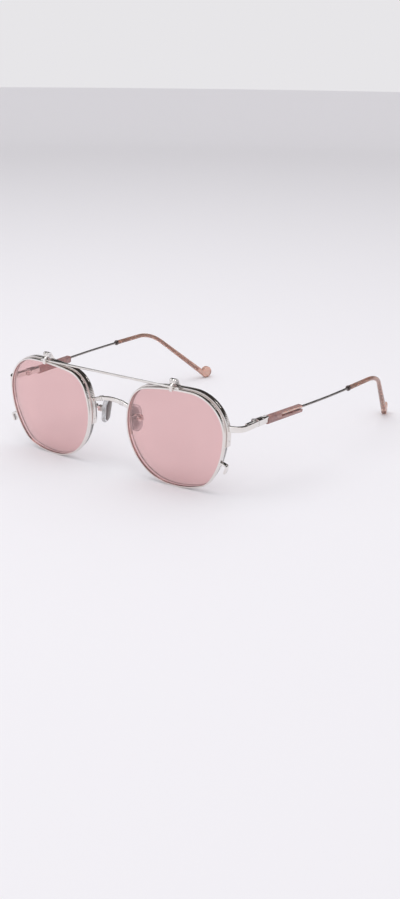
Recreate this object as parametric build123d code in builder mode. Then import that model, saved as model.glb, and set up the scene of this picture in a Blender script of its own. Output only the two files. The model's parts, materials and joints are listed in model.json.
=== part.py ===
"""Half-rim metal spectacles with a pair of tinted lenses that flip up on the brow.

Millimetres, +Z up, wearer looking along -Y. The origin is on the ground, under the middle of
the whole object, which stands on its rims and its temple tips. Left and right are the wearer's:
every paired piece is modelled as the left one, at +X, and mirrored to make the right one.
"""
import math
import os

import numpy
from build123d import *

os.makedirs("parts", exist_ok=True)

# ---------------------------------------------------------------- driving dimensions
LENS_WIDTH = 50.4
LENS_HEIGHT = 44.8
LENS_GAP = 23.6  # between the two lenses, over the nose
BASE_CURVE = 150.0  # radius of the sphere that the lenses follow
FACE_TILT = 4.0  # degrees, the top of the front leans forward
FACE_WRAP = 3.0  # degrees, the outer side of each lens turns back
TEMPLE_REACH = 103.0  # hinge pin to the corner of the bend
TIP_ANGLE = 38.0  # degrees that the tip falls behind the ear, down to the ground

# the lens outline: a closed chain of eight tangent arcs, each from one normal direction to
# the next, counted from the temple side. Odd arcs are corners with these radii; the radii of
# the four sides between them follow from the width and the height.
OUTLINE_TURNS = [-37, -1, 86, 102, 156, 216, 263, 289]
CORNER_RADII = [17.0, 11.7, 21.6, 10.3]

# lenses, rims and the nylon cord
CLEAR_LENS_THICKNESS = 2.0
TINTED_LENS_THICKNESS = 1.1
LENS_PLAY = 0.02  # round a lens in its rim
HALF_RIM_WALL = 1.15
HALF_RIM_DEPTH = 2.4
FLIP_RIM_WALL = 0.75
FLIP_RIM_DEPTH = 1.9
GROOVE_DEPTH = 0.35  # of the tinted lens in its rim
CORD_SIZE = 0.54
CORD_PLAY = 0.03
CORD_PROUD = 0.1  # height of the cord over the lens edge below the rim
RIM_END_INNER = -3.5  # heights of the half rim's two ends over the lens centre
RIM_END_OUTER = -0.3
CORD_HOLE_UP = 2.6  # anchor hole above the end of the half rim
CORD_HOLE = 0.6

# flip-up front and its hinge
RIM_AIR = 0.55  # between the half rim and the flip rim
FLIP_AXIS_HEIGHT = 25.9  # over the lens centre
FLIP_AXIS_AHEAD = 1.75  # ahead of the half rim's middle
KNUCKLE_RADIUS = 1.4
FLIP_PIN_RADIUS = 0.6
FLIP_BARREL_WIDTH = 1.5
EAR_THICKNESS = 0.8
HINGE_CLEARANCE = 0.05  # between the side faces of knuckles that turn on each other
PIN_CLEARANCE = 0.04  # running fit round a pin
TURN_CLEARANCE = 0.12  # round a knuckle that turns in a hollow
BROW_BAR_RADIUS = 0.55
BROW_BAR_OVERHANG = 3.4
BROW_BAR_SEAT = 0.33  # its centre line over the tops of the flip rims
BROW_BAR_END_ROUND = 0.4
LEAF_THICKNESS = 0.9
LEAF_BITE = 0.2  # how far the leaf is let into the rim's front face
LEAF_OVERLAP = 0.3  # how far its foot reaches below the rim's inner edge
TAB_HEIGHT = -6.9  # of the lift tab's root over the lens centre
TAB_LENGTH = 3.8
TAB_STANDOFF = 2.9
TAB_THICKNESS = 0.8
TAB_WIDTH = 2.2

# bridge
BRIDGE_RISE = 2.9
BRIDGE_FOOT = 7.7  # height of its feet over the lens centre
BRIDGE_WIDTH = 1.9
BRIDGE_DEPTH = 1.6
BRIDGE_ROUND = 0.55
BRIDGE_RINGS = [5.4, 6.6]  # distance of its ring collars from the middle
RING_PROUD = 0.25
RING_WIDTH = 0.5

# nose pads
PAD_LENGTH = 12.6
PAD_WIDTH = 7.0
PAD_FOOT_WIDTH = 5.9
PAD_EDGE_ROUND = 0.8
PAD_THICKNESS = 2.1
PAD_CENTRE = (9.3, 7.6, 1.6)  # across, behind the clear lens, over the lens centre
PAD_SPLAY = 14.0
PAD_FLARE = 10.0
PAD_LUG = 1.1
PAD_PIN_RADIUS = 0.4
PAD_BOX = 2.3
PAD_BOX_WALL = 0.5
PAD_PIN_BACK = 1.5  # from the pad's back to the pin
PAD_ARM_RADIUS = 0.45
PAD_ARM_ROOT = 2.8  # height of its root over the pad's middle
PAD_ARM_DIP = 0.3  # how deep its root is let into the half rim
PAD_ARM_BACK = 2.6  # straight back from the rim to its first bend
PAD_ARM_ACROSS = 0.6  # towards the nose there
PAD_ARM_LOOP = 2.2  # out to its last two bends, behind the box
PAD_ARM_BENDS = [1.0, 0.9, 0.8]

# end piece, temple hinge and temple
END_PIECE_THICKNESS = 1.5
END_PIECE_HEIGHT = 2.6
END_PIECE_CORNER = 5.2
END_REACH = 6.4  # from the lens edge out to the end piece's centre line
TEMPLE_HEIGHT = 8.3  # over the lens centre
HINGE_SETBACK = 17.0  # clear lens plane to the hinge pin
HINGE_RADIUS = 1.25
HINGE_PIN_RADIUS = 0.6
HINGE_STACK = [0.6, 1.0, 0.6]  # heights of the three knuckles
HINGE_LEAF_LENGTH = 5.5
HINGE_LEAF_THICKNESS = 0.7
BUTT_GAP = 0.15  # from the pin's plane to the end piece, and to the socket
SOCKET_WIDTH = 2.9
SOCKET_HEIGHT = 3.3
SOCKET_LENGTH = 7.6
SOCKET_WALL = 0.4
SPLAY = 5.4  # degrees that the block turns outwards
BLOCK_WIDTH = 3.4
BLOCK_HEIGHT = 3.7
BLOCK_LENGTH = 25.0
BLOCK_DROP = 0.45  # block centre below the wire
TENON_LENGTH = 3.0
SLOT_WIDTH = 1.7
SLOT_RISE = 0.25  # slot centre above the wire
SLOT_LENGTH = 16.0
WIRE_RADIUS = 0.55
WIRE_PLAY = 0.03
FERRULE_RADIUS = 1.35
FERRULE_LENGTH = 0.9
TIP_RADIUS = 1.1
TIP_END_RADIUS = 1.5
TIP_STRAIGHT = 30.0  # ferrule to the corner of the bend
BEND_RADIUS = 26.0
TIP_INWARD = 20.0  # degrees that the falling stretch turns inwards
PADDLE_RADIUS = 3.3
PADDLE_THICKNESS = 2.8
PADDLE_SINK = 0.1  # the paddle's rim stands this far inside the tip's lower edge

# the slotted screws of all the hinges
SCREW_HEAD_RATIO = 1.7  # head radius to pin radius
SCREW_HEAD_HEIGHT = 0.45
SCREW_HEAD_CHAMFER = 0.1
SCREW_SLOT_WIDTH = 0.28
SCREW_SLOT_DEPTH = 0.22

# what follows from these sizes
LENS_CENTRES = LENS_WIDTH + LENS_GAP
FLIP_GAP = (HALF_RIM_DEPTH + FLIP_RIM_DEPTH) / 2 + RIM_AIR  # tinted lens ahead of the clear one
TEMPLE_SPREAD = (LENS_CENTRES + LENS_WIDTH) / 2 + END_REACH
CUT_REACH = LENS_WIDTH / 3  # deep enough to cut right through the front


# ---------------------------------------------------------------- the lens outline
def unit(degrees):
    return numpy.array([math.cos(math.radians(degrees)), math.sin(math.radians(degrees))])


def outline_arcs():
    """Centre, radius, first and last normal direction of the eight tangent arcs.

    A tangent arc of radius r runs from centre + r * unit(first) to centre + r * unit(last), so
    closure, width and height are linear in the radii and give the four side radii.
    """
    turns = OUTLINE_TURNS + [OUTLINE_TURNS[0] + 360]
    spans = list(zip(turns[:-1], turns[1:]))

    def travel(first, last, low, high):
        """Chord of a unit arc, as far as it lies between the directions low and high."""
        start, end = max(first, low), min(last, high)
        return unit(end) - unit(start) if end > start else numpy.zeros(2)

    rows = [
        [travel(*span, -360, 720)[0] for span in spans],
        [travel(*span, -360, 720)[1] for span in spans],
        [travel(*span, 0, 180)[0] for span in spans],
        [travel(*span, 90, 270)[1] for span in spans],
    ]
    system = numpy.array(rows)
    target = numpy.array([0.0, 0.0, -LENS_WIDTH, -LENS_HEIGHT])
    corners = numpy.array(CORNER_RADII)
    sides = numpy.linalg.solve(system[:, 0::2], target - system[:, 1::2] @ corners)
    radii = [value for pair in zip(sides, corners) for value in pair]
    centres = [numpy.zeros(2)]
    for index in range(7):
        step = (radii[index] - radii[index + 1]) * unit(turns[index + 1])
        centres.append(centres[-1] + step)
    right = centres[0] + radii[0] * unit(0) if turns[1] > 0 else centres[1] + radii[1] * unit(0)
    top = centres[1] + radii[1] * unit(90) if turns[2] > 90 else centres[2] + radii[2] * unit(90)
    middle = numpy.array([right[0] - LENS_WIDTH / 2, top[1] - LENS_HEIGHT / 2])
    return [
        (centre - middle, radius, first, last)
        for centre, radius, (first, last) in zip(centres, radii, spans)
    ]


ARCS = outline_arcs()


def outline_point(direction, grow=0.0):
    """Point of the outline, grown outwards, whose normal has this direction in degrees."""
    for centre, radius, first, last in ARCS:
        angle = first + (direction - first) % 360
        if angle <= last:
            return centre + (radius + grow) * unit(angle)


def side_direction(height, outer):
    """Normal direction where the outline's outer or inner side passes this height."""
    low, high = (-80.0, 80.0) if outer else (260.0, 100.0)
    for _ in range(50):
        middle = (low + high) / 2
        if outline_point(middle)[1] < height:
            low = middle
        else:
            high = middle
    return low


def top_height(across, grow=0.0):
    """Height of the outline's top edge at a distance across from the lens centre."""
    low, high = 140.0, 40.0
    for _ in range(50):
        middle = (low + high) / 2
        if outline_point(middle, grow)[0] < across:
            low = middle
        else:
            high = middle
    return outline_point(low, grow)[1]


def outline_face(grow=0.0):
    """Face inside the lens outline, grown outwards."""
    with BuildSketch() as face:
        with BuildLine():
            for centre, radius, first, last in ARCS:
                CenterArc(tuple(centre), radius + grow, first, last - first)
        make_face()
    return face.sketch


# ---------------------------------------------------------------- where things are
def dip(distance, lift=0.0):
    """How far the lens sphere, raised by lift, lies ahead of its crown at this distance."""
    return math.sqrt((BASE_CURVE + lift) ** 2 - distance**2) - BASE_CURVE


tilt_cos = math.cos(math.radians(FACE_TILT))
tilt_sin = math.sin(math.radians(FACE_TILT))
rim_reach = LENS_HEIGHT / 2 + FLIP_RIM_WALL
lens_height = rim_reach * tilt_cos + (FLIP_GAP + dip(rim_reach, FLIP_RIM_DEPTH / 2)) * tilt_sin

# the paddle at the tip's end stands on the ground, and its lower edge runs on from the tip's
paddle_offset = PADDLE_RADIUS - TIP_END_RADIUS - PADDLE_SINK
tip_angle = math.radians(TIP_ANGLE)
end_height = PADDLE_RADIUS - paddle_offset * math.cos(tip_angle)
tip_fall = (lens_height + TEMPLE_HEIGHT - end_height) / math.sin(tip_angle)
tip_back = (tip_fall * math.cos(tip_angle) + paddle_offset * math.sin(tip_angle)) * math.cos(
    math.radians(TIP_INWARD)
)
front_reach = FLIP_GAP * tilt_cos + rim_reach * tilt_sin + LEAF_THICKNESS
back_reach = HINGE_SETBACK + TEMPLE_REACH + tip_back + PADDLE_RADIUS
FRONT = Plane(
    origin=(0, (front_reach - back_reach) / 2, lens_height),
    x_dir=(1, 0, 0),
    z_dir=(0, -tilt_cos, -tilt_sin),
)
WRAPPED_X = FRONT.x_dir.rotate(Axis((0, 0, 0), FRONT.y_dir), FACE_WRAP)
WRAPPED_Z = FRONT.z_dir.rotate(Axis((0, 0, 0), FRONT.y_dir), FACE_WRAP)


def lens_plane(ahead=0.0):
    """Plane of the left lens: x towards the temple, y up, z forwards."""
    centre = FRONT.from_local_coords((LENS_CENTRES / 2, 0, ahead))
    return Plane(origin=centre, x_dir=WRAPPED_X, z_dir=WRAPPED_Z)


def on_lens(across, up, ahead=0.0, lift=0.0):
    """Point over the lens sphere, at a place across and up from the lens centre."""
    return lens_plane(ahead).from_local_coords((across, up, dip(math.hypot(across, up), lift)))


def sphere_centre(ahead=0.0):
    return lens_plane(ahead).from_local_coords((0, 0, -BASE_CURVE))


def layer(ahead, inner, outer, thickness):
    """A closed band of lens outline, grown from inner to outer, in its curved layer."""
    outside = outline_face(outer)
    with BuildPart() as band:
        with BuildSketch(lens_plane(ahead)):
            add(outside)
            if inner is not None:
                add(outline_face(inner), mode=Mode.SUBTRACT)
        extrude(amount=CUT_REACH, both=True)
        with Locations(sphere_centre(ahead)):
            Sphere(BASE_CURVE + thickness / 2, mode=Mode.INTERSECT)
            Sphere(BASE_CURVE - thickness / 2, mode=Mode.SUBTRACT)
    return band.part


def write(piece, name):
    piece.part.label = name
    export_step(piece.part, f"parts/{name}.step")


def write_pair(piece, name):
    """Write the left piece, and its mirror image as the right one."""
    write(piece, "left_" + name)
    with BuildPart() as twin:
        mirror(piece.part, about=Plane.YZ)
    write(twin, "right_" + name)


def screw(plane, radius, grip):
    """A pin that goes from the plane through a grip, then a round head with a slot."""
    with BuildPart() as piece:
        with BuildSketch(plane):
            Circle(radius)
        extrude(amount=grip)
        with BuildSketch(plane.offset(grip)):
            Circle(radius * SCREW_HEAD_RATIO)
        extrude(amount=SCREW_HEAD_HEIGHT)
        head = piece.faces().sort_by(Axis(plane.origin, plane.z_dir))[-1]
        chamfer(head.edges(), SCREW_HEAD_CHAMFER)
        with BuildSketch(plane.offset(grip + SCREW_HEAD_HEIGHT)):
            Rectangle(4 * radius, SCREW_SLOT_WIDTH)
        extrude(amount=-SCREW_SLOT_DEPTH, mode=Mode.SUBTRACT)
    return piece


# ---------------------------------------------------------------- clear lens and half rim
HALF_OUTER = LENS_PLAY + HALF_RIM_WALL
BELOW = LENS_HEIGHT  # long enough to reach below the whole lens

cord_angles = [
    side_direction(RIM_END_INNER + CORD_HOLE_UP, outer=False),
    side_direction(RIM_END_OUTER + CORD_HOLE_UP, outer=True),
]


def cord_plane(direction):
    """Plane at the lens edge whose normal points out along the cord's anchor hole."""
    across, up = outline_point(direction)
    normal = lens_plane().from_local_coords((*unit(direction), 0)) - lens_plane().origin
    return Plane(origin=on_lens(across, up), z_dir=normal)


with BuildPart() as below_rim:
    with BuildSketch(lens_plane()):
        with Locations((-BELOW / 2, RIM_END_INNER), (BELOW / 2, RIM_END_OUTER)):
            Rectangle(BELOW, BELOW, align=(Align.CENTER, Align.MAX))
    extrude(amount=CUT_REACH, both=True)

rim_band = layer(0, LENS_PLAY, HALF_OUTER, HALF_RIM_DEPTH)
with BuildPart() as half_rim:
    add(rim_band)
    add(below_rim.part, mode=Mode.SUBTRACT)
    for angle in cord_angles:
        with BuildSketch(cord_plane(angle)):
            Circle(CORD_HOLE / 2)
        extrude(amount=HALF_OUTER * 2, mode=Mode.SUBTRACT)
write_pair(half_rim, "half_rim")

lens_blank = layer(0, None, 0, CLEAR_LENS_THICKNESS)
edge_groove = layer(0, -CORD_SIZE / 2, 1, CORD_SIZE + 2 * CORD_PLAY)
with BuildPart() as clear_lens:
    add(lens_blank)
    add(edge_groove, mode=Mode.SUBTRACT)
write_pair(clear_lens, "clear_lens")

proud_loop = layer(0, -CORD_SIZE / 2 + CORD_PLAY, CORD_PROUD, CORD_SIZE)
sunk_loop = layer(0, -CORD_SIZE / 2 + CORD_PLAY, 0, CORD_SIZE)
with BuildPart() as nylon_cord:
    add(proud_loop)
    add(below_rim.part, mode=Mode.INTERSECT)
    add(sunk_loop)
    for angle in cord_angles:
        with BuildSketch(cord_plane(angle).offset(-CORD_SIZE / 4)):
            Circle(CORD_HOLE / 2 - CORD_PLAY)
        extrude(amount=CORD_SIZE / 4 + HALF_OUTER - CORD_PLAY)
write_pair(nylon_cord, "nylon_cord")

# ---------------------------------------------------------------- tinted lens and its rim
FLIP_OUTER = FLIP_RIM_WALL

flip_band = layer(FLIP_GAP, 0, FLIP_OUTER, FLIP_RIM_DEPTH)
rim_groove = layer(FLIP_GAP, -1, GROOVE_DEPTH, TINTED_LENS_THICKNESS + 2 * LENS_PLAY)
with BuildPart() as flip_rim:
    add(flip_band)
    add(rim_groove, mode=Mode.SUBTRACT)
write_pair(flip_rim, "flip_rim")

tinted_blank = layer(FLIP_GAP, None, GROOVE_DEPTH - LENS_PLAY, TINTED_LENS_THICKNESS)
with BuildPart() as tinted_lens:
    add(tinted_blank)
write_pair(tinted_lens, "tinted_lens")

# ---------------------------------------------------------------- brow bar
# a round wire straight across, let into the tops of both flip rims and soldered there
brow_top = top_height(0, FLIP_OUTER)
brow_ahead = FLIP_GAP + dip(brow_top)
brow_height = brow_top + BROW_BAR_SEAT
BROW = Plane(
    origin=FRONT.from_local_coords((0, brow_height, brow_ahead)),
    x_dir=FRONT.y_dir,
    z_dir=FRONT.x_dir,
)

flip_outline = outline_face(FLIP_OUTER)
with BuildPart() as brow_bar:
    with BuildSketch(BROW):
        Circle(BROW_BAR_RADIUS)
    extrude(amount=LENS_CENTRES / 2 + BROW_BAR_OVERHANG)
    fillet(brow_bar.faces().sort_by(Axis.X)[-1].edges(), BROW_BAR_END_ROUND)
    with BuildSketch(lens_plane(FLIP_GAP)):
        add(flip_outline)
    extrude(amount=CUT_REACH, both=True, mode=Mode.SUBTRACT)
    mirror(about=Plane.YZ)
write(brow_bar, "brow_bar")

# ---------------------------------------------------------------- flip hinge
post_top = top_height(0, HALF_OUTER)
axis_ahead = dip(post_top) + FLIP_AXIS_AHEAD
FLIP_AXIS = FRONT.from_local_coords((LENS_CENTRES / 2, FLIP_AXIS_HEIGHT, axis_ahead))
FLIP_SIDE = Plane(origin=FLIP_AXIS, x_dir=-FRONT.z_dir, z_dir=FRONT.x_dir)  # x back, y up
slot_half = FLIP_BARREL_WIDTH / 2 + HINGE_CLEARANCE

post_foot = post_top - FLIP_AXIS_HEIGHT
post_back = FLIP_AXIS_AHEAD + HALF_RIM_DEPTH / 2
post_front = FLIP_AXIS_AHEAD - HALF_RIM_DEPTH / 2
ear_face = slot_half + EAR_THICKNESS

half_outline = outline_face(HALF_OUTER)
with BuildPart() as flip_post:
    with BuildSketch(FLIP_SIDE.offset(-ear_face)):
        Circle(KNUCKLE_RADIUS)
        with BuildLine():
            Polyline(
                (KNUCKLE_RADIUS, 0),
                (post_back, post_foot),
                (post_back, post_foot - KNUCKLE_RADIUS),
                (post_front, post_foot - KNUCKLE_RADIUS),
                (post_front, post_foot),
                tuple(KNUCKLE_RADIUS * unit(225)),
                close=True,
            )
        make_face()
    extrude(amount=2 * ear_face)
    with BuildSketch(FLIP_SIDE.offset(-slot_half)):
        Circle(KNUCKLE_RADIUS + TURN_CLEARANCE)
    extrude(amount=2 * slot_half, mode=Mode.SUBTRACT)
    with BuildSketch(FLIP_SIDE.offset(-ear_face)):
        Circle(FLIP_PIN_RADIUS)
    extrude(amount=2 * ear_face, mode=Mode.SUBTRACT)
    with BuildSketch(lens_plane()):
        add(half_outline)
    extrude(amount=CUT_REACH, both=True, mode=Mode.SUBTRACT)
write_pair(flip_post, "flip_post")

flip_screw = screw(FLIP_SIDE.offset(-ear_face), FLIP_PIN_RADIUS, 2 * ear_face)
write_pair(flip_screw, "flip_screw")

leaf_front = FLIP_GAP + dip(brow_top, FLIP_RIM_DEPTH / 2) - axis_ahead
leaf_inner = leaf_front - LEAF_BITE
leaf_bar = brow_ahead - axis_ahead
leaf_under = brow_height + BROW_BAR_RADIUS / 2 - FLIP_AXIS_HEIGHT
leaf_foot = LENS_HEIGHT / 2 - LEAF_OVERLAP - FLIP_AXIS_HEIGHT

with BuildPart() as flip_leaf:
    with BuildSketch(FLIP_SIDE.offset(-FLIP_BARREL_WIDTH / 2)):
        Circle(KNUCKLE_RADIUS)
        with BuildLine():
            Polyline(
                (0, 0),
                (-leaf_front - LEAF_THICKNESS / 2, -KNUCKLE_RADIUS / 2),
                (-leaf_front - LEAF_THICKNESS, -KNUCKLE_RADIUS / 2 - LEAF_THICKNESS / 2),
                (-leaf_front - LEAF_THICKNESS, leaf_foot),
                (-leaf_inner, leaf_foot),
                (-leaf_inner, leaf_under),
                (-leaf_bar, leaf_under),
                tuple(KNUCKLE_RADIUS * unit(225)),
                close=True,
            )
        make_face()
        Circle(FLIP_PIN_RADIUS + PIN_CLEARANCE, mode=Mode.SUBTRACT)
    extrude(amount=FLIP_BARREL_WIDTH)
    add(flip_rim.part, mode=Mode.SUBTRACT)
    add(brow_bar.part, mode=Mode.SUBTRACT)
write_pair(flip_leaf, "flip_leaf")

# ---------------------------------------------------------------- lift tab
# a small bent strip, soldered to the flip rim's lower outer edge, that a fingertip lifts
tab_direction = side_direction(TAB_HEIGHT, outer=True)
tab_root = outline_point(tab_direction, FLIP_OUTER / 2)
tab_bend = outline_point(tab_direction, FLIP_OUTER + TAB_STANDOFF + TAB_THICKNESS / 2)
tab_end = tab_bend + TAB_LENGTH * unit(tab_direction - 90)
tab_ahead = dip(math.hypot(*tab_root))

with BuildPart() as lift_tab:
    with BuildLine(lens_plane(FLIP_GAP).offset(tab_ahead)) as tab_path:
        FilletPolyline(tuple(tab_root), tuple(tab_bend), tuple(tab_end), radius=TAB_THICKNESS)
    with BuildSketch(Plane(origin=tab_path.line @ 0, x_dir=WRAPPED_Z, z_dir=tab_path.line % 0)):
        Rectangle(TAB_WIDTH, TAB_THICKNESS)
    sweep()
    with BuildSketch(lens_plane(FLIP_GAP)):
        add(flip_outline)
    extrude(amount=CUT_REACH, both=True, mode=Mode.SUBTRACT)
write_pair(lift_tab, "lift_tab")

# ---------------------------------------------------------------- bridge
foot_direction = side_direction(BRIDGE_FOOT, outer=False)
foot = FRONT.to_local_coords(on_lens(*outline_point(foot_direction)))
arch_radius = (foot.X**2 + BRIDGE_RISE**2) / (2 * BRIDGE_RISE)
arch_centre = foot.Y + BRIDGE_RISE - arch_radius
arch_turn = math.degrees(math.asin(foot.X / arch_radius))


def on_arch(across):
    """Plane across the bridge at a distance from its middle: x forwards, z along the arch."""
    turn = math.asin(across / arch_radius)
    up = arch_centre + arch_radius * math.cos(turn)
    along = FRONT.x_dir * math.cos(turn) - FRONT.y_dir * math.sin(turn)
    origin = FRONT.from_local_coords((across, up, foot.Z))
    return Plane(origin=origin, x_dir=FRONT.z_dir, z_dir=along)


with BuildPart() as bridge:
    with BuildSketch(on_arch(0)):
        RectangleRounded(BRIDGE_DEPTH, BRIDGE_WIDTH, BRIDGE_ROUND)
    revolve(
        axis=Axis(FRONT.from_local_coords((0, arch_centre, foot.Z)), -FRONT.z_dir),
        revolution_arc=arch_turn,
    )
    for ring in BRIDGE_RINGS:
        with BuildSketch(on_arch(ring)):
            RectangleRounded(
                BRIDGE_DEPTH + 2 * RING_PROUD,
                BRIDGE_WIDTH + 2 * RING_PROUD,
                BRIDGE_ROUND + RING_PROUD,
            )
        extrude(amount=RING_WIDTH / 2, both=True)
    with BuildSketch(lens_plane()):
        add(half_outline)
    extrude(amount=CUT_REACH, both=True, mode=Mode.SUBTRACT)
    mirror(about=Plane.YZ)
write(bridge, "bridge")

# ---------------------------------------------------------------- nose pads
splay, flare = math.radians(PAD_SPLAY), math.radians(PAD_FLARE)
PAD = Plane(
    origin=FRONT.from_local_coords((PAD_CENTRE[0], PAD_CENTRE[2], -PAD_CENTRE[1])),
    x_dir=FRONT.x_dir * math.sin(splay) - FRONT.z_dir * math.cos(splay),
    z_dir=FRONT.x_dir * (math.cos(flare) * math.cos(splay))
    + FRONT.y_dir * math.sin(flare)
    + FRONT.z_dir * (math.cos(flare) * math.sin(splay)),
)  # x back, y up, z away from the nose
pad_back = PAD_THICKNESS / 2
pad_pin = pad_back + PAD_PIN_BACK
lug_radius = 2 * PAD_PIN_RADIUS
PAD_PIN = Plane(
    origin=PAD.from_local_coords((0, 0, pad_pin)), x_dir=-PAD.z_dir, z_dir=PAD.x_dir
)  # x towards the pad, y up, z along the pin

with BuildPart() as pad_lug:
    with BuildSketch(PAD_PIN.offset(-PAD_LUG / 2)):
        Circle(lug_radius)
        Rectangle(pad_pin, 2 * lug_radius, align=(Align.MIN, Align.CENTER))
        Circle(PAD_PIN_RADIUS + PIN_CLEARANCE, mode=Mode.SUBTRACT)
    extrude(amount=PAD_LUG)
    with BuildSketch(PAD.offset(-PAD_THICKNESS / 8)):
        RectangleRounded(2.5 * PAD_LUG, 4 * lug_radius, PAD_LUG / 2)
    extrude(amount=PAD_THICKNESS / 4)
write_pair(pad_lug, "pad_lug")

with BuildPart() as nose_pad:
    with BuildSketch(PAD.offset(-pad_back)):
        with Locations((0, (PAD_LENGTH - PAD_WIDTH) / 2)):
            Circle(PAD_WIDTH / 2)
        with Locations((0, (PAD_FOOT_WIDTH - PAD_LENGTH) / 2)):
            Circle(PAD_FOOT_WIDTH / 2)
        make_hull()
    extrude(amount=PAD_THICKNESS)
    fillet(nose_pad.faces().filter_by(Axis(PAD.origin, PAD.z_dir)).edges(), PAD_EDGE_ROUND)
    add(pad_lug.part, mode=Mode.SUBTRACT)
write_pair(nose_pad, "nose_pad")

box_inner = PAD_LUG / 2 + HINGE_CLEARANCE
box_back = lug_radius + TURN_CLEARANCE + PAD_BOX_WALL

with BuildPart() as pad_box:
    with BuildSketch(PAD_PIN.offset(-box_inner - PAD_BOX_WALL)):
        with Locations((-box_back, 0)):
            Rectangle(box_back + lug_radius, PAD_BOX, align=(Align.MIN, Align.CENTER))
    extrude(amount=2 * (box_inner + PAD_BOX_WALL))
    with BuildSketch(PAD_PIN.offset(-box_inner)):
        with Locations((-box_back + PAD_BOX_WALL, 0)):
            Rectangle(2 * box_back, PAD_BOX, align=(Align.MIN, Align.CENTER))
    extrude(amount=2 * box_inner, mode=Mode.SUBTRACT)
    with BuildSketch(PAD_PIN.offset(-box_inner - PAD_BOX_WALL)):
        Circle(PAD_PIN_RADIUS)
    extrude(amount=2 * (box_inner + PAD_BOX_WALL), mode=Mode.SUBTRACT)
write_pair(pad_box, "pad_box")

box_half = box_inner + PAD_BOX_WALL
pad_screw_seat = Plane(PAD_PIN.offset(box_half).origin, x_dir=PAD_PIN.x_dir, z_dir=-PAD_PIN.z_dir)
pad_screw = screw(pad_screw_seat, PAD_PIN_RADIUS, 2 * box_half)
write_pair(pad_screw, "pad_screw")

arm_direction = side_direction(PAD_CENTRE[2] + PAD_ARM_ROOT, outer=False)
arm_root = on_lens(*outline_point(arm_direction, HALF_OUTER / 2), lift=-HALF_RIM_DEPTH / 2)
box_face = PAD_PIN.from_local_coords((-box_back, 0, 0))
arm_back = FRONT.z_dir * -PAD_ARM_BACK + FRONT.x_dir * PAD_ARM_ACROSS
arm_rise = FRONT.y_dir * PAD_ARM_LOOP + FRONT.z_dir * PAD_ARM_LOOP / 2

with BuildPart() as pad_arm:
    with BuildLine() as arm_path:
        FilletPolyline(
            arm_root + FRONT.z_dir * PAD_ARM_DIP,
            arm_root + arm_back,
            box_face + PAD.z_dir * PAD_ARM_LOOP + arm_rise,
            box_face + PAD.z_dir * PAD_ARM_LOOP - FRONT.y_dir * PAD_ARM_DIP,
            box_face,
            radius=PAD_ARM_BENDS,
        )
    with BuildSketch(Plane(origin=arm_path.line @ 0, z_dir=arm_path.line % 0)):
        Circle(PAD_ARM_RADIUS)
    sweep()
    add(half_rim.part, mode=Mode.SUBTRACT)
write_pair(pad_arm, "pad_arm")

# ---------------------------------------------------------------- end piece
hinge_back = FRONT.origin.Y + HINGE_SETBACK
temple_height = lens_height + TEMPLE_HEIGHT
end_direction = side_direction(TEMPLE_HEIGHT, outer=True)
end_root = on_lens(*outline_point(end_direction))
pin_across = TEMPLE_SPREAD - END_PIECE_THICKNESS / 2 - HINGE_RADIUS - 2 * HINGE_CLEARANCE

with BuildPart() as end_piece:
    with BuildLine(Plane.XY.offset(temple_height)) as end_path:
        FilletPolyline(
            (end_root.X, end_root.Y),
            (TEMPLE_SPREAD, end_root.Y),
            (TEMPLE_SPREAD, hinge_back - BUTT_GAP),
            radius=END_PIECE_CORNER,
        )
    with BuildSketch(Plane(origin=end_path.line @ 0, x_dir=(0, 1, 0), z_dir=(1, 0, 0))):
        RectangleRounded(END_PIECE_THICKNESS, END_PIECE_HEIGHT, END_PIECE_THICKNESS / 5)
    sweep()
    with BuildSketch(lens_plane()):
        add(half_outline)
    extrude(amount=CUT_REACH, both=True, mode=Mode.SUBTRACT)
write_pair(end_piece, "end_piece")

# ---------------------------------------------------------------- temple hinge
hinge_height = sum(HINGE_STACK) + 2 * HINGE_CLEARANCE
HINGE = Plane(origin=(pin_across, hinge_back, temple_height - hinge_height / 2))
knuckle_bottoms = [
    0,
    HINGE_STACK[0] + HINGE_CLEARANCE,
    HINGE_STACK[0] + HINGE_STACK[1] + 2 * HINGE_CLEARANCE,
]
inner_face = TEMPLE_SPREAD - END_PIECE_THICKNESS / 2 - pin_across
turn_radius = HINGE_RADIUS + TURN_CLEARANCE

with BuildPart() as front_hinge:
    with BuildSketch(HINGE):
        with Locations((inner_face, -turn_radius)):
            Rectangle(HINGE_RADIUS, HINGE_LEAF_LENGTH, align=(Align.MAX, Align.MAX))
    extrude(amount=hinge_height)
    for index in (0, 2):
        with BuildSketch(HINGE.offset(knuckle_bottoms[index])):
            Circle(HINGE_RADIUS)
            Rectangle(HINGE_RADIUS, turn_radius, align=(Align.MIN, Align.MAX))
            Circle(HINGE_PIN_RADIUS, mode=Mode.SUBTRACT)
        extrude(amount=HINGE_STACK[index])
write_pair(front_hinge, "front_hinge")

hinge_screw = screw(HINGE, HINGE_PIN_RADIUS, hinge_height)
write_pair(hinge_screw, "hinge_screw")

# ---------------------------------------------------------------- temple: socket and leaf
socket_outer = inner_face + END_PIECE_THICKNESS
socket_middle = pin_across + socket_outer - SOCKET_WIDTH / 2
socket_inner = socket_outer - SOCKET_WIDTH
socket_end = hinge_back + BUTT_GAP + SOCKET_LENGTH
SOCKET_MOUTH = Plane(
    origin=(socket_middle, socket_end, temple_height), x_dir=(-1, 0, 0), z_dir=(0, 1, 0)
)  # x inwards, y up, z back

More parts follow.
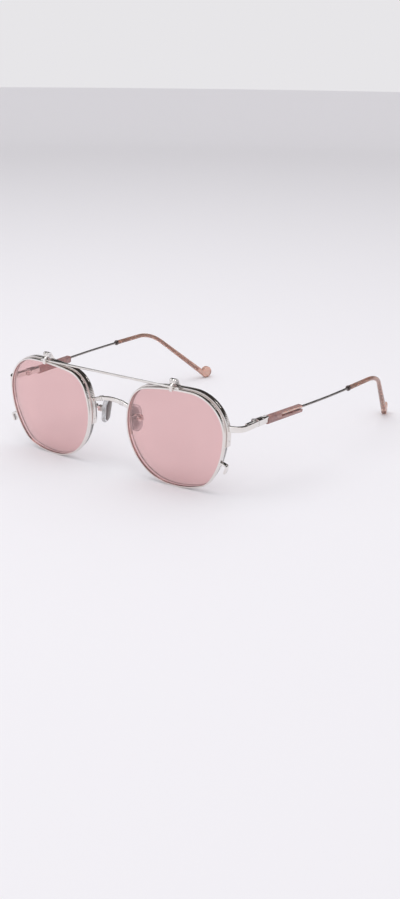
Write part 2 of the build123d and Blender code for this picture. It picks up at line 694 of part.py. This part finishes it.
with BuildPart() as temple_socket:
    with BuildSketch(SOCKET_MOUTH.offset(-SOCKET_LENGTH)):
        RectangleRounded(SOCKET_WIDTH, SOCKET_HEIGHT, SOCKET_WIDTH / 4)
    extrude(amount=SOCKET_LENGTH)
    with BuildSketch(SOCKET_MOUTH):
        RectangleRounded(
            SOCKET_WIDTH - 2 * SOCKET_WALL,
            SOCKET_HEIGHT - 2 * SOCKET_WALL,
            SOCKET_WIDTH / 4 - SOCKET_WALL / 2,
        )
    extrude(amount=-TENON_LENGTH - 2 * LENS_PLAY, mode=Mode.SUBTRACT)
    with BuildSketch(HINGE.offset(-SOCKET_HEIGHT)):
        Circle(turn_radius)
    extrude(amount=3 * SOCKET_HEIGHT, mode=Mode.SUBTRACT)
write_pair(temple_socket, "temple_socket")

with BuildPart() as temple_hinge:
    with BuildSketch(HINGE.offset(knuckle_bottoms[0])):
        with Locations((socket_inner, turn_radius + TURN_CLEARANCE)):
            Rectangle(HINGE_LEAF_THICKNESS, HINGE_LEAF_LENGTH, align=(Align.MAX, Align.MIN))
    extrude(amount=hinge_height)
    with BuildSketch(HINGE.offset(knuckle_bottoms[1])):
        Circle(HINGE_RADIUS)
        with Locations((socket_inner - HINGE_LEAF_THICKNESS, 0)):
            Rectangle(
                HINGE_LEAF_THICKNESS + HINGE_PIN_RADIUS / 2,
                2 * turn_radius,
                align=(Align.MIN, Align.MIN),
            )
        Circle(HINGE_PIN_RADIUS + PIN_CLEARANCE, mode=Mode.SUBTRACT)
    extrude(amount=HINGE_STACK[1])
    add(temple_socket.part, mode=Mode.SUBTRACT)
write_pair(temple_hinge, "temple_hinge")

# ---------------------------------------------------------------- temple: block, wire and tip
splay_sin, splay_cos = math.sin(math.radians(SPLAY)), math.cos(math.radians(SPLAY))
along_block = Vector(splay_sin, splay_cos, 0)
BLOCK = Plane(
    origin=SOCKET_MOUTH.origin, x_dir=(-splay_cos, splay_sin, 0), z_dir=along_block
)  # x inwards, y up, z back along the block
wire_length = TEMPLE_REACH - SOCKET_LENGTH - BLOCK_LENGTH * splay_cos - TIP_STRAIGHT
inward = math.radians(TIP_INWARD)
fall = tip_angle
falling = Vector(
    -math.sin(inward) * math.cos(fall), math.cos(inward) * math.cos(fall), -math.sin(fall)
)
rising = Vector(
    -math.sin(inward) * math.sin(fall), math.cos(inward) * math.sin(fall), math.cos(fall)
)  # square to the falling stretch, in its upright plane
wire_start = BLOCK.origin + along_block * TENON_LENGTH / 2
wire_turn = BLOCK.origin + along_block * (BLOCK_LENGTH + wire_length / 2)
tip_start = wire_turn + Vector(0, wire_length / 2, 0)
tip_corner = tip_start + Vector(0, TIP_STRAIGHT, 0)
tip_end = tip_corner + falling * tip_fall
turn = math.acos(falling.Y)
bend_end = tip_corner + falling * (BEND_RADIUS * math.tan(turn / 2) + TIP_RADIUS)
core_radius = wire_length / math.radians(SPLAY)


def wire_line(start, end):
    """The temple's centre line: straight, a long curve, straight, and the bend to the tip."""
    return FilletPolyline(start, wire_turn, tip_corner, end, radius=[core_radius, BEND_RADIUS])


with BuildPart() as temple_block:
    with BuildSketch(BLOCK.offset(-BLOCK_WIDTH / 2)):
        with Locations((0, -BLOCK_DROP)):
            RectangleRounded(BLOCK_WIDTH, BLOCK_HEIGHT, BLOCK_WIDTH / 3)
    extrude(amount=BLOCK_WIDTH / 2 + BLOCK_LENGTH)
    split(bisect_by=Plane(SOCKET_MOUTH.origin, z_dir=(0, 1, 0)), keep=Keep.TOP)
    fillet(temple_block.faces().sort_by(Axis.Y)[-1].edges(), BLOCK_WIDTH / 6)
    with BuildSketch(SOCKET_MOUTH.offset(-TENON_LENGTH)):
        RectangleRounded(
            SOCKET_WIDTH - 2 * SOCKET_WALL - 2 * LENS_PLAY,
            SOCKET_HEIGHT - 2 * SOCKET_WALL - 2 * LENS_PLAY,
            SOCKET_WIDTH / 4 - SOCKET_WALL / 2 - LENS_PLAY,
        )
    extrude(amount=TENON_LENGTH)
    with BuildSketch(Plane(origin=wire_start, z_dir=along_block)):
        Circle(WIRE_RADIUS + WIRE_PLAY)
    extrude(amount=BLOCK_LENGTH, mode=Mode.SUBTRACT)
    slot_middle = BLOCK.origin + along_block * BLOCK_LENGTH
    with BuildSketch(Plane(origin=slot_middle, x_dir=along_block, z_dir=-BLOCK.x_dir)):
        with Locations((0, SLOT_RISE)):
            SlotOverall(2 * SLOT_LENGTH, SLOT_WIDTH)
    extrude(amount=BLOCK_WIDTH, mode=Mode.SUBTRACT)
write_pair(temple_block, "temple_block")

with BuildPart() as temple_wire:
    with BuildLine() as core_path:
        wire_line(wire_start, tip_end - falling * 2 * PADDLE_RADIUS)
    with BuildSketch(Plane(origin=core_path.line @ 0, z_dir=core_path.line % 0)):
        Circle(WIRE_RADIUS)
    sweep()
write_pair(temple_wire, "temple_wire")

with BuildPart() as ferrule:
    with BuildSketch(Plane(origin=tip_start, z_dir=(0, 1, 0))):
        Circle(FERRULE_RADIUS)
        Circle(WIRE_RADIUS, mode=Mode.SUBTRACT)
    extrude(amount=FERRULE_LENGTH)
    fillet(ferrule.faces().sort_by(Axis.Y)[0].outer_wire().edges(), FERRULE_LENGTH / 4)
write_pair(ferrule, "ferrule")

with BuildPart() as core_bore:
    with BuildLine() as bore_path:
        FilletPolyline(
            tip_start - Vector(0, FERRULE_LENGTH, 0),
            tip_corner,
            tip_end - falling * (2 * PADDLE_RADIUS - WIRE_RADIUS),
            radius=BEND_RADIUS,
        )
    with BuildSketch(Plane(origin=bore_path.line @ 0, z_dir=(0, 1, 0))):
        Circle(WIRE_RADIUS + WIRE_PLAY)
    sweep()

paddle_middle = tip_end + rising * paddle_offset
with BuildPart() as paddle:
    with BuildSketch(Plane(origin=paddle_middle, x_dir=falling, z_dir=falling.cross(rising))):
        Circle(PADDLE_RADIUS)
    extrude(amount=PADDLE_THICKNESS / 2, both=True)
    fillet(paddle.edges().filter_by(GeomType.CIRCLE), PADDLE_THICKNESS / 3)

with BuildPart() as temple_tip:
    with BuildLine() as tip_path:
        FilletPolyline(
            tip_start + Vector(0, FERRULE_LENGTH, 0), tip_corner, bend_end, radius=BEND_RADIUS
        )
    with BuildSketch(Plane(origin=tip_path.line @ 0, z_dir=(0, 1, 0))):
        Circle(TIP_RADIUS)
    sweep()
    with BuildSketch(Plane(origin=bend_end, z_dir=falling)):
        Circle(TIP_RADIUS)
    with BuildSketch(Plane(origin=tip_end, z_dir=falling)):
        Circle(TIP_END_RADIUS)
    loft()
    add(paddle.part)
    add(core_bore.part, mode=Mode.SUBTRACT)
write_pair(temple_tip, "temple_tip")
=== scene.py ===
"""Half-rim spectacles with a pair of pink lenses that flip up on the brow.

Metres, +Z up, the wearer looks along -Y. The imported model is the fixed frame: every piece here
is a finished copy that takes a CAD node's place, or a small new piece that rides with one.
"""

import json
import math

import bmesh
import bpy
from mathutils import Matrix, Vector

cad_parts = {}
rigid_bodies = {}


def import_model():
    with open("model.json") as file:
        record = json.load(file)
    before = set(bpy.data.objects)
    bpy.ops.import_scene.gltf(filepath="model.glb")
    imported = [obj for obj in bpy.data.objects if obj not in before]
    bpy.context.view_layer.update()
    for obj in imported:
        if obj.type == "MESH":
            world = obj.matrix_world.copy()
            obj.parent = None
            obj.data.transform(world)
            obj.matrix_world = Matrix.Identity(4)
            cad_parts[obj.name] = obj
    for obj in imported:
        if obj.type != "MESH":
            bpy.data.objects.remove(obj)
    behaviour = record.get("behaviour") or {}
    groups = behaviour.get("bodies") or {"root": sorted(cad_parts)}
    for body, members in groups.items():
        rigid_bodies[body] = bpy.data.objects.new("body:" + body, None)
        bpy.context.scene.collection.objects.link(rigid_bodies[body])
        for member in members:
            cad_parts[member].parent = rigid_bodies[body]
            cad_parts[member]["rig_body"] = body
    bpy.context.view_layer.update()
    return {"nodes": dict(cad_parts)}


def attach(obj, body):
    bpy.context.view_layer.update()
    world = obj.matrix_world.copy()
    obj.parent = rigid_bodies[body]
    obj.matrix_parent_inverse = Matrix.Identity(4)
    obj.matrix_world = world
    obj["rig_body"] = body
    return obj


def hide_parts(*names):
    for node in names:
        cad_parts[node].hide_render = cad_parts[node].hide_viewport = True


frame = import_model()
scene = bpy.context.scene
SIDES = ("left", "right")

# ---------------------------------------------------------------- table
# The spectacles stand on a seamless white table of painted board, whose far edge sweeps up
# all round. Its colour darkens further out: painted shade, where the lamps' light falls off.
TABLE_RADIUS = 1.6
SWEEP_RADIUS = 0.5
SWEEP_TURN = math.radians(35)
SWEEP_STEPS = 10
TABLE_STEPS = 96
TABLE_COLOUR = (0.86, 0.85, 0.875, 1)
# The table's far colour is painted shade, where the lamps' light falls off.
TABLE_SHADE_COLOUR = (0.80, 0.79, 0.81, 1)
SHADE_START = 0.05  # how far out the table starts to dim, and where it ends
SHADE_END = 1.4

table = bmesh.new()
bmesh.ops.create_vert(table, co=(0, 0, 0))
bmesh.ops.create_vert(table, co=(TABLE_RADIUS, 0, 0))
table.verts.ensure_lookup_table()
table.edges.new(table.verts[:])
bmesh.ops.spin(
    table,
    geom=[table.verts[1]],
    cent=(TABLE_RADIUS, 0, SWEEP_RADIUS),
    axis=(0, -1, 0),
    angle=SWEEP_TURN,
    steps=SWEEP_STEPS,
    use_duplicate=False,
)
bmesh.ops.spin(
    table,
    geom=table.verts[:] + table.edges[:],
    cent=(0, 0, 0),
    axis=(0, 0, 1),
    angle=math.tau,
    steps=TABLE_STEPS,
    use_merge=True,
    use_duplicate=False,
)
bmesh.ops.remove_doubles(table, verts=table.verts, dist=1e-5)
bmesh.ops.recalc_face_normals(table, faces=table.faces)
if sum(face.normal.z for face in table.faces) < 0:
    bmesh.ops.reverse_faces(table, faces=table.faces)
for face in table.faces:
    face.smooth = True


def put(mesh, name, *materials):
    """A bmesh as an object at the origin, with its materials."""
    data = bpy.data.meshes.new(name)
    mesh.to_mesh(data)
    mesh.free()
    for material in materials:
        data.materials.append(material)
    piece = bpy.data.objects.new(name, data)
    scene.collection.objects.link(piece)
    return piece


def new_material(name):
    """An empty material with its Principled shader, and a function that adds nodes to it."""
    material = bpy.data.materials.new(name)
    material.use_nodes = True
    tree = material.node_tree
    shader = tree.nodes["Principled BSDF"]

    def add(kind, inputs=(), **settings):
        node = tree.nodes.new("ShaderNode" + kind)
        for key, value in settings.items():
            setattr(node, key, value)
        for key, value in dict(inputs).items():
            if isinstance(value, bpy.types.NodeSocket):
                tree.links.new(value, node.inputs[key])
            else:
                node.inputs[key].default_value = value
        return node

    return material, tree, shader, add


def ramp(add, source, *stops):
    """A colour ramp of (place, colour) stops that reads a factor."""
    node = add("ValToRGB", {"Fac": source})
    elements = node.color_ramp.elements
    while len(elements) < len(stops):
        elements.new(0.5)
    for element, (place, colour) in zip(elements, stops):
        element.position = place
        element.color = colour if len(colour) == 4 else (*colour, 1)
    return node.outputs["Color"]


white, tree, shader, add = new_material("white_table")
place = add("TexCoord").outputs["Object"]
# Painted shade: the table's colour darkens from the middle outwards.
away = add("VectorMath", {0: place}, operation="LENGTH").outputs["Value"]
shade_share = add(
    "MapRange", {"Value": away, "From Min": SHADE_START, "From Max": SHADE_END}
).outputs["Result"]
tree.links.new(ramp(add, shade_share, (0, TABLE_COLOUR), (1, TABLE_SHADE_COLOUR)), shader.inputs[0])
shader.inputs["Roughness"].default_value = 0.7
shader.inputs["Specular IOR Level"].default_value = 0.2
put(table, "table", white)

# ---------------------------------------------------------------- light
# One large soft box hangs overhead, with a weaker one at the side and a small one behind.
# A wide dark screen stands behind and above the table, and shows only in reflections.
SKY_COLOUR = (0.80, 0.79, 0.81, 1)
SKY_LIGHT = 1.0
SCREEN_COLOUR = (0.035, 0.03, 0.028, 1)
SCREEN_LOW = 0.12  # height of the dark screen's lower edge, as a sine of elevation
SCREEN_SOFT = 0.10
SCREEN_FRONT = -0.45  # the screen fades in from here, in the sky's Y
SCREEN_BACK = -0.15
world = bpy.data.worlds.new("studio")
scene.world = world
world.use_nodes = True
world_tree = world.node_tree
world_tree.nodes.clear()


def sky(kind, **settings):
    """A new node of the studio's sky."""
    node = world_tree.nodes.new("ShaderNode" + kind)
    for key, value in settings.items():
        setattr(node, key, value)
    return node


def sky_step(source, low, high, smooth=True):
    """0 below low, 1 above high, of one number in the sky's direction."""
    node = sky("MapRange", interpolation_type="SMOOTHSTEP")
    world_tree.links.new(source, node.inputs["Value"])
    node.inputs["From Min"].default_value = low
    node.inputs["From Max"].default_value = high
    return node.outputs["Result"]


def sky_times(one, other):
    """The product of two numbers in the sky."""
    node = sky("Math", operation="MULTIPLY")
    world_tree.links.new(one, node.inputs[0])
    world_tree.links.new(other, node.inputs[1])
    return node.outputs[0]


direction = sky("SeparateXYZ")
world_tree.links.new(sky("TexCoord").outputs["Generated"], direction.inputs[0])
above = sky_step(direction.outputs["Z"], SCREEN_LOW, SCREEN_LOW + SCREEN_SOFT)
behind = sky_step(direction.outputs["Y"], SCREEN_FRONT, SCREEN_BACK)
screen = sky_times(above, behind)
screen = sky_times(screen, sky("LightPath").outputs["Is Glossy Ray"])
bright, dark, blend = sky("Background"), sky("Background"), sky("MixShader")
bright.inputs["Color"].default_value = SKY_COLOUR
bright.inputs["Strength"].default_value = SKY_LIGHT
dark.inputs["Color"].default_value = SCREEN_COLOUR
world_tree.links.new(screen, blend.inputs[0])
world_tree.links.new(bright.outputs[0], blend.inputs[1])
world_tree.links.new(dark.outputs[0], blend.inputs[2])
world_tree.links.new(blend.outputs[0], sky("OutputWorld").inputs["Surface"])


def soft_light(name, place, target, width, power):
    """A square soft box that points at its target."""
    lamp = bpy.data.lights.new(name, "AREA")
    lamp.shape = "SQUARE"
    lamp.size = width
    lamp.energy = power
    light = bpy.data.objects.new(name, lamp)
    light.location = place
    light.rotation_euler = (Vector(target) - Vector(place)).to_track_quat("-Z", "Y").to_euler()
    scene.collection.objects.link(light)


soft_light("overhead_box", (-0.25, -0.2, 1.1), (0, 0, 0), 0.9, 4.2)
soft_light("side_box", (1.2, -0.7, 0.5), (0, 0, 0.02), 0.5, 1.0)
soft_light("hair_box", (0.5, 1.1, 0.9), (0, 0, 0.02), 0.12, 0.25)

# ---------------------------------------------------------------- camera
# The camera looks down on the wearer's left front corner, tipped a little, with a lens long
# enough to keep the temples nearly parallel.
CAMERA_TURN = math.radians(35.7)
CAMERA_RISE = math.radians(18.97)
CAMERA_ROLL = math.radians(0.72)
CAMERA_DISTANCE = 0.52
CAMERA_TARGET = Vector((0.0534, -0.0820, 0.0222))
CAMERA_LENS = 48.33  # millimetres, for the long side of the frame
ahead = Vector(
    (
        -math.sin(CAMERA_TURN) * math.cos(CAMERA_RISE),
        math.cos(CAMERA_TURN) * math.cos(CAMERA_RISE),
        -math.sin(CAMERA_RISE),
    )
)
across = Vector((math.cos(CAMERA_TURN), math.sin(CAMERA_TURN), 0))
upright = across.cross(ahead)
rolled = across * math.cos(CAMERA_ROLL) + upright * math.sin(CAMERA_ROLL)
upright = rolled.cross(ahead)
camera = bpy.data.objects.new("camera", bpy.data.cameras.new("camera"))
camera.data.lens = CAMERA_LENS
camera.data.clip_start = 0.01
camera.matrix_world = Matrix.Translation(CAMERA_TARGET - ahead * CAMERA_DISTANCE) @ Matrix(
    (rolled, upright, -ahead)
).transposed().to_4x4()
scene.collection.objects.link(camera)
scene.camera = camera
scene.view_settings.view_transform = "Standard"

# ---------------------------------------------------------------- half rims and bridge
# The upper rims and the bridge are nickel silver, drawn, bent and soldered, then palladium
# plated. The polishing drum rounds every edge, and fine ribs are milled across the rims.
EDGE_ROUND = 0.00013
SHARP_TURN = math.radians(35)
SMOOTH_TURN = math.radians(50)
FLAT_TURN = math.radians(0.3)
LENS_PLACE = (0.037, 0.0232)  # lens centre: out from the middle, and up
RIB_COUNT = 230
RIB_DEPTH = 0.000012


def rib_height(add, place):
    """Fine ribs milled square across the edge of a rim, counted round its lens centre."""
    parts = add("SeparateXYZ", {0: place}).outputs
    out = add("Math", {0: parts["X"]}, operation="ABSOLUTE").outputs[0]
    out = add("Math", {0: out, 1: LENS_PLACE[0]}, operation="SUBTRACT").outputs[0]
    up = add("Math", {0: parts["Z"], 1: LENS_PLACE[1]}, operation="SUBTRACT").outputs[0]
    turn = add("Math", {0: up, 1: out}, operation="ARCTAN2").outputs[0]
    wave = add("Math", {0: turn, 1: RIB_COUNT}, operation="MULTIPLY").outputs[0]
    wave = add("Math", {0: wave}, operation="SINE").outputs[0]
    facing = add("SeparateXYZ", {0: add("NewGeometry").outputs["True Normal"]}).outputs["Y"]
    facing = add("Math", {0: facing}, operation="ABSOLUTE").outputs[0]
    side = add("MapRange", {"Value": facing, "From Min": 0.5, "From Max": 0.3}).outputs[0]
    return add("Math", {0: wave, 1: side}, operation="MULTIPLY").outputs[0]


def polished_metal(name, colour, roughness, streaks, streak_size, ribbed=False):
    """Plated metal: fine polishing lines in its gloss, and a faint warm stain in its colour."""
    metal, tree, shader, add = new_material(name)
    place = add("TexCoord").outputs["Object"]
    stretched = add("Mapping", {"Vector": place, "Scale": streak_size}).outputs[0]
    lines = add("TexNoise", {"Vector": stretched, "Scale": 1.0, "Detail": 4.0}).outputs[0]
    cloud = add("TexNoise", {"Vector": place, "Scale": 160.0, "Detail": 3.0}).outputs[0]
    warm = tuple(c * f for c, f in zip(colour, (0.94, 0.91, 0.88)))
    tree.links.new(ramp(add, cloud, (0.35, colour), (0.75, warm)), shader.inputs["Base Color"])
    gloss = add(
        "MapRange",
        {"Value": lines, "From Min": 0.3, "From Max": 0.7, "To Min": roughness * 0.6,
         "To Max": roughness * 1.7},
    ).outputs["Result"]
    tree.links.new(gloss, shader.inputs["Roughness"])
    bump = add("Bump", {"Height": lines, "Strength": streaks, "Distance": 0.00003})
    if ribbed:
        bump = add(
            "Bump",
            {"Height": rib_height(add, place), "Distance": RIB_DEPTH, "Normal": bump.outputs[0]},
        )
    tree.links.new(bump.outputs["Normal"], shader.inputs["Normal"])
    shader.inputs["Metallic"].default_value = 1.0
    return metal


def dressed(node, material, rounding=EDGE_ROUND, segments=2):
    """A copy of a CAD node with its doubles merged and its sharp edges rounded, in its place.

    With no rounding the surface is kept as it is, for the smooth faces of a lens.
    """
    source = frame["nodes"][node]
    mesh = bmesh.new()
    mesh.from_mesh(source.data)
    bmesh.ops.remove_doubles(mesh, verts=mesh.verts, dist=2e-6)
    if rounding:
        bmesh.ops.dissolve_limit(mesh, angle_limit=FLAT_TURN, verts=mesh.verts, edges=mesh.edges)
        sharp = [
            edge
            for edge in mesh.edges
            if len(edge.link_faces) == 2 and edge.calc_face_angle() > SHARP_TURN
        ]
        bmesh.ops.bevel(
            mesh,
            geom=sharp,
            offset=rounding,
            offset_type="OFFSET",
            segments=segments,
            profile=0.5,
            affect="EDGES",
            clamp_overlap=True,
            material=-1,
        )
    for face in mesh.faces:
        face.smooth = True
        face.material_index = 0
    for edge in mesh.edges:
        edge.smooth = len(edge.link_faces) == 2 and edge.calc_face_angle() < SMOOTH_TURN
    piece = put(mesh, node + "_finished", material)
    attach(piece, source["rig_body"])
    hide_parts(node)
    return piece


silver = polished_metal("palladium_silver", (0.86, 0.84, 0.82), 0.10, 0.25, (900, 900, 4000))
rim_silver = polished_metal(
    "ribbed_silver", (0.84, 0.81, 0.79), 0.12, 0.25, (900, 900, 4000), ribbed=True
)
dressed("bridge", silver)
for side in SIDES:
    dressed(f"{side}_half_rim", rim_silver)

# ---------------------------------------------------------------- clear lenses and cord
# The rear lenses are clear resin with a hard coat. A nylon cord, drawn tight in a groove round
# their matt edge, holds them up into the half rims.
MATT_TURN = 0.7  # a face that looks less than this far forwards or back is on the edge


def lens_glass(name, tint, shade, roughness=0.0):
    """A thin coated lens: clear to the eye, with a soft tinted shadow."""
    glass, tree, shader, add = new_material(name)
    place = add("TexCoord").outputs["Object"]
    cloud = add("TexNoise", {"Vector": place, "Scale": 40.0, "Detail": 2.0}).outputs[0]
    fainter = tuple(min(1.0, c * 1.02) for c in tint)
    tree.links.new(ramp(add, cloud, (0.4, tint), (0.6, fainter)), shader.inputs["Base Color"])
    shader.inputs["Transmission Weight"].default_value = 1.0
    shader.inputs["Roughness"].default_value = roughness
    shader.inputs["IOR"].default_value = 1.5
    through = add("BsdfTransparent", {"Color": (*shade, 1)})
    lamp_ray = add("LightPath").outputs["Is Shadow Ray"]
    mix = add("MixShader", {0: lamp_ray, 1: shader.outputs[0], 2: through.outputs[0]})
    tree.links.new(mix.outputs[0], tree.nodes["Material Output"].inputs["Surface"])
    return glass


clear_glass = lens_glass("clear_lens", (0.975, 0.98, 0.98), (0.97, 0.97, 0.97))
matt_edge = lens_glass("lens_edge", (0.90, 0.91, 0.92), (0.9, 0.9, 0.9), roughness=0.35)
for side in SIDES:
    lens = dressed(f"{side}_clear_lens", clear_glass, rounding=0)
    lens.data.materials.append(matt_edge)
    for polygon in lens.data.polygons:
        if abs(polygon.normal.y) < MATT_TURN:
            polygon.material_index = 1

nylon, tree, shader, add = new_material("clear_nylon")
place = add("TexCoord").outputs["Object"]
haze = add("TexNoise", {"Vector": place, "Scale": 700.0, "Detail": 2.0}).outputs[0]
tree.links.new(
    ramp(add, haze, (0.3, (0.90, 0.90, 0.89)), (0.7, (0.97, 0.97, 0.96))), shader.inputs[0]
)
shader.inputs["Transmission Weight"].default_value = 0.6
shader.inputs["Roughness"].default_value = 0.25
for side in SIDES:
    dressed(f"{side}_nylon_cord", nylon)

# ---------------------------------------------------------------- flip hinges and brow bar
# A post stands on each half rim, and a leaf turns on it about a slotted steel screw. The leaf
# is soldered to its flip rim, and the brow bar ties both leaves together.
SCREW_ROUND = 0.00004
steel = polished_metal("screw_steel", (0.66, 0.65, 0.64), 0.22, 0.5, (4000, 4000, 4000))
dressed("brow_bar", silver)
for side in SIDES:
    dressed(f"{side}_flip_post", silver)
    dressed(f"{side}_flip_leaf", silver)
    dressed(f"{side}_flip_screw", steel, rounding=SCREW_ROUND)

# ---------------------------------------------------------------- flip rims and tinted lenses
# The flip rims are the same ribbed, plated wire, closed all round a thin nylon lens that is
# dyed dusty pink. A small tab, soldered at the outer lower corner, is what a finger lifts.
pink_glass = lens_glass("pink_lens", (0.825, 0.55, 0.545), (0.90, 0.80, 0.81))
for side in SIDES:
    dressed(f"{side}_flip_rim", rim_silver)
    dressed(f"{side}_tinted_lens", pink_glass, rounding=0)
    dressed(f"{side}_lift_tab", silver)

# ---------------------------------------------------------------- nose pads
# Each pad is a soft clear silicone cushion. A thin dark plate on its flat nose side is painted
# shade, for the darkness seen through the clear pad. Its steel lug rocks on a screw in a box,
# on an arm that is soldered to the half rim.
# Blackened metal for the ferrules. On the pad plates the same dark is painted shade.
gunmetal_and_pad_shade = polished_metal("gunmetal_and_pad_shade", (0.17, 0.145, 0.14), 0.2, 0.3, (3000, 3000, 3000))
silicone, tree, shader, add = new_material("clear_silicone")
place = add("TexCoord").outputs["Object"]
haze = add("TexNoise", {"Vector": place, "Scale": 500.0, "Detail": 2.0}).outputs[0]
tree.links.new(
    ramp(add, haze, (0.3, (0.90, 0.91, 0.93)), (0.7, (0.97, 0.97, 0.98))), shader.inputs[0]
)
shader.inputs["Transmission Weight"].default_value = 0.62
shader.inputs["Roughness"].default_value = 0.14
shader.inputs["IOR"].default_value = 1.41
SHADE_PLATE_SHARE = 0.92  # of the pad's flat nose side, in width and length
SHADE_PLATE_THICKNESS = 0.00035
SHADE_PLATE_ROUND = 0.0001
for side in SIDES:
    dressed(f"{side}_pad_box", silver)
    dressed(f"{side}_pad_arm", silver)
    dressed(f"{side}_pad_screw", steel, rounding=SCREW_ROUND)
    dressed(f"{side}_pad_lug", steel, rounding=SCREW_ROUND)
    pad = dressed(f"{side}_nose_pad", silicone)
    # Painted shade: a dark plate on the pad's nose side, for the darkness seen through the clear
    # pad.
    shade_plate = bmesh.new()
    shade_plate.from_mesh(pad.data)
    nose_side = max(shade_plate.faces, key=lambda face: face.calc_area())
    outwards = nose_side.normal.copy()
    middle = nose_side.calc_center_median()
    others = [face for face in shade_plate.faces if face is not nose_side]
    bmesh.ops.delete(shade_plate, geom=others, context="FACES")
    bmesh.ops.scale(
        shade_plate, verts=shade_plate.verts, vec=[SHADE_PLATE_SHARE] * 3, space=Matrix.Translation(-middle)
    )
    raised = bmesh.ops.extrude_face_region(shade_plate, geom=shade_plate.faces[:])["geom"]
    bmesh.ops.translate(
        shade_plate,
        verts=[item for item in raised if isinstance(item, bmesh.types.BMVert)],
        vec=outwards * SHADE_PLATE_THICKNESS,
    )
    bmesh.ops.bevel(
        shade_plate,
        geom=[edge for edge in shade_plate.edges if edge.calc_face_angle(0) > SHARP_TURN],
        offset=SHADE_PLATE_ROUND,
        offset_type="OFFSET",
        segments=2,
        profile=0.5,
        affect="EDGES",
        clamp_overlap=True,
        material=-1,
    )
    bmesh.ops.recalc_face_normals(shade_plate, faces=shade_plate.faces)
    for face in shade_plate.faces:
        face.smooth = True
    shade_plate_piece = put(shade_plate, f"{side}_pad_shade_plate", gunmetal_and_pad_shade)
    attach(shade_plate_piece, f"{side}_pad")

# ---------------------------------------------------------------- end pieces and temple hinges
# A stamped end piece runs back from each half rim to a three-barrel hinge. Its outer barrels
# are soldered to the end piece, the middle one to the temple, and a screw joins them.
for side in SIDES:
    dressed(f"{side}_end_piece", silver)
    dressed(f"{side}_front_hinge", silver)
    dressed(f"{side}_temple_hinge", silver)
    dressed(f"{side}_hinge_screw", steel, rounding=SCREW_ROUND)

# ---------------------------------------------------------------- temple sockets and blocks
# A plated socket holds the tenon of a block of marbled pink cellulose acetate, cut from sheet
# and polished. A slot through the block shows the wire. A paler strip over it is painted
# light: its lighter acetate stands in for the light that falls into the slot.


def acetate(name, light, deep, clear):
    """Marbled cellulose acetate, polished, that lets some light through."""
    sheet, tree, shader, add = new_material(name)
    place = add("TexCoord").outputs["Object"]
    marble = add(
        "TexNoise", {"Vector": place, "Scale": 220.0, "Detail": 4.0, "Distortion": 0.8}
    ).outputs[0]
    tree.links.new(ramp(add, marble, (0.38, light), (0.68, deep)), shader.inputs["Base Color"])
    wavy = add("TexNoise", {"Vector": place, "Scale": 900.0, "Detail": 2.0}).outputs[0]
    gloss = add("MapRange", {"Value": wavy, "To Min": 0.12, "To Max": 0.26}).outputs["Result"]
    tree.links.new(gloss, shader.inputs["Roughness"])
    shader.inputs["Transmission Weight"].default_value = clear
    shader.inputs["IOR"].default_value = 1.48
    shader.inputs["Subsurface Weight"].default_value = 0.35
    shader.inputs["Subsurface Radius"].default_value = (1.0, 0.6, 0.5)
    shader.inputs["Subsurface Scale"].default_value = 0.0012
    return sheet


pink_acetate = acetate("pink_acetate", (0.60, 0.37, 0.34), (0.44, 0.26, 0.25), 0.4)
BLOCK_START = (0.0679, -0.05257, 0.03152)  # where the block leaves its socket, on the wire
BLOCK_SPLAY = math.radians(5.4)
STRIP_SIZE = (0.0008, 0.0150, 0.0009)
STRIP_PLACE = (0.00105, 0.0173, 0.00055)
STRIP_ROUND = 0.0002
# Painted light: a paler acetate for the strip in the slot, in place of the light that falls in.
slot_painted_light_acetate = acetate("slot_painted_light_acetate", (0.86, 0.58, 0.50), (0.78, 0.48, 0.42), 0.2)
for side in SIDES:
    dressed(f"{side}_temple_socket", silver)
    dressed(f"{side}_temple_block", pink_acetate)
    strip = bmesh.new()
    bmesh.ops.create_cube(strip, size=1.0)
    bmesh.ops.scale(strip, verts=strip.verts, vec=STRIP_SIZE)
    bmesh.ops.bevel(
        strip,
        geom=strip.edges[:],
        offset=STRIP_ROUND,
        offset_type="OFFSET",
        segments=3,
        profile=0.5,
        affect="EDGES",
        clamp_overlap=True,
        material=-1,
    )
    bmesh.ops.translate(strip, verts=strip.verts, vec=STRIP_PLACE)
    bmesh.ops.rotate(strip, verts=strip.verts, matrix=Matrix.Rotation(-BLOCK_SPLAY, 3, "Z"))
    bmesh.ops.translate(strip, verts=strip.verts, vec=BLOCK_START)
    if side == "right":
        bmesh.ops.scale(strip, verts=strip.verts, vec=(-1, 1, 1))
        bmesh.ops.reverse_faces(strip, faces=strip.faces)
    for face in strip.faces:
        face.smooth = True
    painted_light_strip = put(strip, f"{side}_slot_painted_light_strip", slot_painted_light_acetate)
    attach(painted_light_strip, f"{side}_temple")

# ---------------------------------------------------------------- wires, ferrules and tips
# A round steel wire runs from the block through a blackened ferrule into the tip, whose peach
# acetate is bored for it and lets it show inside as a darker line.
wire_steel = polished_metal("temple_wire_steel", (0.36, 0.34, 0.33), 0.25, 0.4, (5000, 500, 5000))
tip_acetate = acetate("peach_acetate", (0.82, 0.54, 0.44), (0.70, 0.42, 0.34), 0.75)
for side in SIDES:
    dressed(f"{side}_temple_wire", wire_steel)
    dressed(f"{side}_ferrule", gunmetal_and_pad_shade)
    dressed(f"{side}_temple_tip", tip_acetate)
